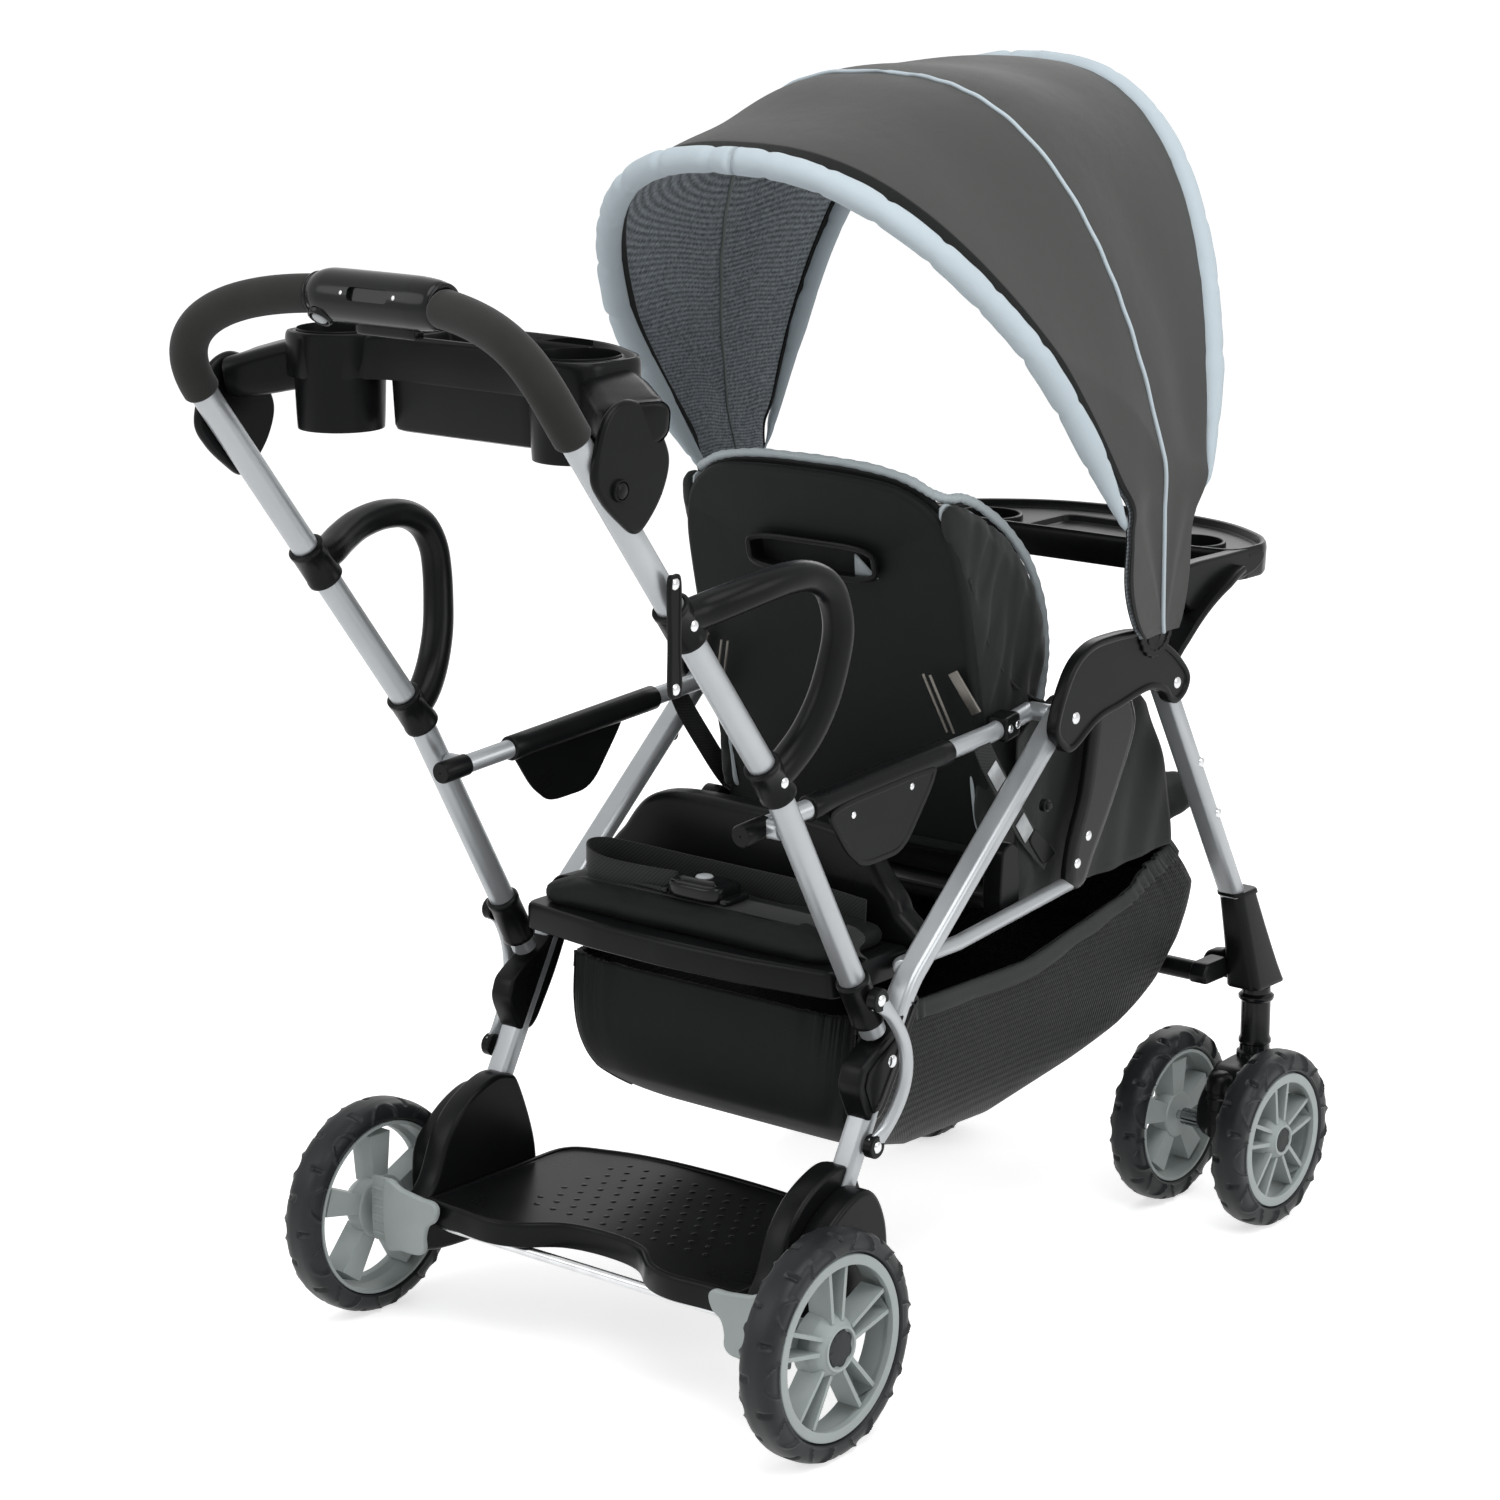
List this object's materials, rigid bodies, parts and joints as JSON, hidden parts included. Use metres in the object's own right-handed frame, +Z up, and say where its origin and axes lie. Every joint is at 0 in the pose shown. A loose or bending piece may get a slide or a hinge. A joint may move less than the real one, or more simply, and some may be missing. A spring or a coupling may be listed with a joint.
{
  "type": "sit and stand stroller",
  "caption": "Stroller with a canopied front seat, a rear bench above a standing board, a storage basket, swivelling front wheels and a folding tube frame.",
  "frame": {"origin": "on the floor, midway between the sides and midway along the overall length", "axes": "+Z up, -Y the way it is pushed, +Y towards the parent, +X the parent's left"},
  "size_m": [0.6, 1.2158, 1.1997],
  "materials": {
    "tube_silver": "satin silver paint",
    "plastic_black": "satin moulded black",
    "plastic_gloss": "polished black",
    "plastic_grey": "satin mid grey",
    "button_grey": "light grey",
    "tyre_rubber": "dark charcoal moulded rubber",
    "foam_black": "closed cell foam",
    "fabric_black": "woven black cloth",
    "fabric_hood": "heather dark grey cloth",
    "fabric_piping": "pale blue grey padded binding"
  },
  "bodies": {
    "rear_frame": {"rear_leg_left": "tube_silver", "rear_leg_right": "tube_silver", "leg_saddle_left": "plastic_black", "leg_saddle_right": "plastic_black", "rear_fender_left": "plastic_black", "rear_fender_right": "plastic_black", "rear_axle": "tube_silver", "step_board": "plastic_black", "hub_cover_left": "plastic_black", "hub_cover_right": "plastic_black", "lower_rail_left": "tube_silver", "lower_rail_right": "tube_silver", "side_strut_left": "plastic_black", "side_strut_right": "plastic_black", "bench_pan": "plastic_black", "bench_pad": "fabric_black", "lap_belt": "fabric_black", "belt_buckle": "plastic_black", "basket": "fabric_black", "seat_base": "fabric_black", "canopy_cover": "fabric_hood", "canopy_trim_rear": "fabric_piping"},
    "rails": {"side_rail_left": "tube_silver", "side_rail_right": "tube_silver", "rail_guard_left": "plastic_black", "rail_guard_right": "plastic_black"},
    "handle": {"handle_tube": "tube_silver", "foam_grip_left": "foam_black", "foam_grip_right": "foam_black", "console": "plastic_gloss", "parent_tray": "plastic_black", "side_grip_left": "plastic_black", "side_grip_right": "plastic_black", "handle_socket_left": "plastic_black", "handle_socket_right": "plastic_black"},
    "fold_button": {"fold_button": "button_grey"},
    "fold_trigger": {"fold_trigger": "plastic_gloss"},
    "storage_latch": {"storage_latch": "plastic_black"},
    "links": {"curved_link_left": "tube_silver", "curved_link_right": "tube_silver"},
    "front_legs": {"front_leg_left": "tube_silver", "front_leg_right": "tube_silver", "footrest_bar": "plastic_black"},
    "caster_left": {"caster_fork_left": "plastic_black"},
    "caster_right": {"caster_fork_right": "plastic_black"},
    "front_wheel_left_outer": {"front_wheel_left_outer": "tyre_rubber"},
    "front_wheel_left_inner": {"front_wheel_left_inner": "tyre_rubber"},
    "front_wheel_right_outer": {"front_wheel_right_outer": "tyre_rubber"},
    "front_wheel_right_inner": {"front_wheel_right_inner": "tyre_rubber"},
    "rear_wheel_left": {"rear_rim_left": "plastic_grey", "rear_tyre_left": "tyre_rubber"},
    "rear_wheel_right": {"rear_rim_right": "plastic_grey", "rear_tyre_right": "tyre_rubber"},
    "brake_pedal_left": {"brake_pedal_left": "plastic_grey"},
    "brake_pedal_right": {"brake_pedal_right": "plastic_grey"},
    "seat": {"seat_back": "fabric_black", "seat_pad": "fabric_black"},
    "child_tray": {"child_tray": "plastic_black"},
    "buckle_button": {"buckle_button": "button_grey"},
    "canopy_front": {"canopy_trim_front": "fabric_piping"}
  },
  "joints": [
    {"name": "rails_swing", "type": "hinge", "parent": "rear_frame", "child": "rails", "pos_m": [0, -0.12587, 0.589], "axis": [-1, 0, 0], "range_deg": [0, 2]},
    {"name": "handle_fold", "type": "hinge", "parent": "rails", "child": "handle", "pos_m": [0, 0.28197, 0.5565], "axis": [1, 0, 0], "range_deg": [0, 33]},
    {"name": "links_swing", "type": "hinge", "parent": "rear_frame", "child": "links", "pos_m": [0, 0.19113, 0.2464], "axis": [-1, 0, 0], "range_deg": [0, 45.1]},
    {"name": "front_legs_fold", "type": "hinge", "parent": "rear_frame", "child": "front_legs", "pos_m": [0, -0.30287, 0.593], "axis": [1, 0, 0], "range_deg": [0, 22.1], "deforming": ["basket"]},
    {"name": "caster_swivel_left", "type": "hinge", "parent": "front_legs", "child": "caster_left", "pos_m": [0.2165, -0.50187, 0.231], "axis": [0, 0, 1], "continuous": true},
    {"name": "caster_swivel_right", "type": "hinge", "parent": "front_legs", "child": "caster_right", "pos_m": [-0.2165, -0.50187, 0.231], "axis": [0, 0, 1], "continuous": true},
    {"name": "front_wheel_spin_left_outer", "type": "hinge", "parent": "caster_left", "child": "front_wheel_left_outer", "pos_m": [0.2785, -0.43587, 0.0926], "axis": [1, 0, 0], "continuous": true},
    {"name": "front_wheel_spin_left_inner", "type": "hinge", "parent": "caster_left", "child": "front_wheel_left_inner", "pos_m": [0.1545, -0.43587, 0.0926], "axis": [1, 0, 0], "continuous": true},
    {"name": "front_wheel_spin_right_outer", "type": "hinge", "parent": "caster_right", "child": "front_wheel_right_outer", "pos_m": [-0.2785, -0.43587, 0.0926], "axis": [1, 0, 0], "continuous": true},
    {"name": "front_wheel_spin_right_inner", "type": "hinge", "parent": "caster_right", "child": "front_wheel_right_inner", "pos_m": [-0.1545, -0.43587, 0.0926], "axis": [1, 0, 0], "continuous": true},
    {"name": "rear_wheel_spin_left", "type": "hinge", "parent": "rear_frame", "child": "rear_wheel_left", "pos_m": [0.281, 0.31713, 0.106], "axis": [1, 0, 0], "continuous": true},
    {"name": "rear_wheel_spin_right", "type": "hinge", "parent": "rear_frame", "child": "rear_wheel_right", "pos_m": [-0.281, 0.31713, 0.106], "axis": [1, 0, 0], "continuous": true},
    {"name": "brake_pedal_press_left", "type": "hinge", "parent": "rear_frame", "child": "brake_pedal_left", "pos_m": [0.24175, 0.31713, 0.106], "axis": [-1, 0, 0], "range_deg": [0, 25]},
    {"name": "brake_pedal_press_right", "type": "hinge", "parent": "rear_frame", "child": "brake_pedal_right", "pos_m": [-0.24175, 0.31713, 0.106], "axis": [-1, 0, 0], "range_deg": [0, 25]},
    {"name": "seat_recline", "type": "hinge", "parent": "rear_frame", "child": "seat", "pos_m": [0, -0.08587, 0.452], "axis": [-1, 0, 0], "range_deg": [0, 35]},
    {"name": "child_tray_lift", "type": "hinge", "parent": "rear_frame", "child": "child_tray", "pos_m": [0, -0.30287, 0.593], "axis": [-1, 0, 0], "range_deg": [0, 60]},
    {"name": "canopy_fold", "type": "hinge", "parent": "rear_frame", "child": "canopy_front", "pos_m": [0, -0.25887, 0.655], "axis": [-1, 0, 0], "range_deg": [0, 35], "deforming": ["canopy_cover"]},
    {"name": "latch_swing", "type": "hinge", "parent": "handle", "child": "storage_latch", "pos_m": [-0.233, 0.46657, 0.81], "axis": [1, 0, 0], "range_deg": [0, 90]},
    {"name": "fold_button_press", "type": "slide", "parent": "handle", "child": "fold_button", "axis": [0, -0.6392, 0.769], "range_m": [0, 0.003], "stiffness_N_per_m": 300, "springref_m": -0.001},
    {"name": "fold_trigger_squeeze", "type": "slide", "parent": "handle", "child": "fold_trigger", "axis": [0, 0, 1], "range_m": [0, 0.004], "stiffness_N_per_m": 400, "springref_m": -0.001},
    {"name": "buckle_button_press", "type": "slide", "parent": "rear_frame", "child": "buckle_button", "axis": [0, 0, -1], "range_m": [0, 0.003], "stiffness_N_per_m": 300, "springref_m": -0.001}
  ],
  "couplings": [
    {"joint": "rails_swing", "follows": "handle_fold", "ratio": 0.0597},
    {"joint": "links_swing", "follows": "handle_fold", "ratio": 1.3636},
    {"joint": "front_legs_fold", "follows": "handle_fold", "ratio": 0.66667}
  ]
}
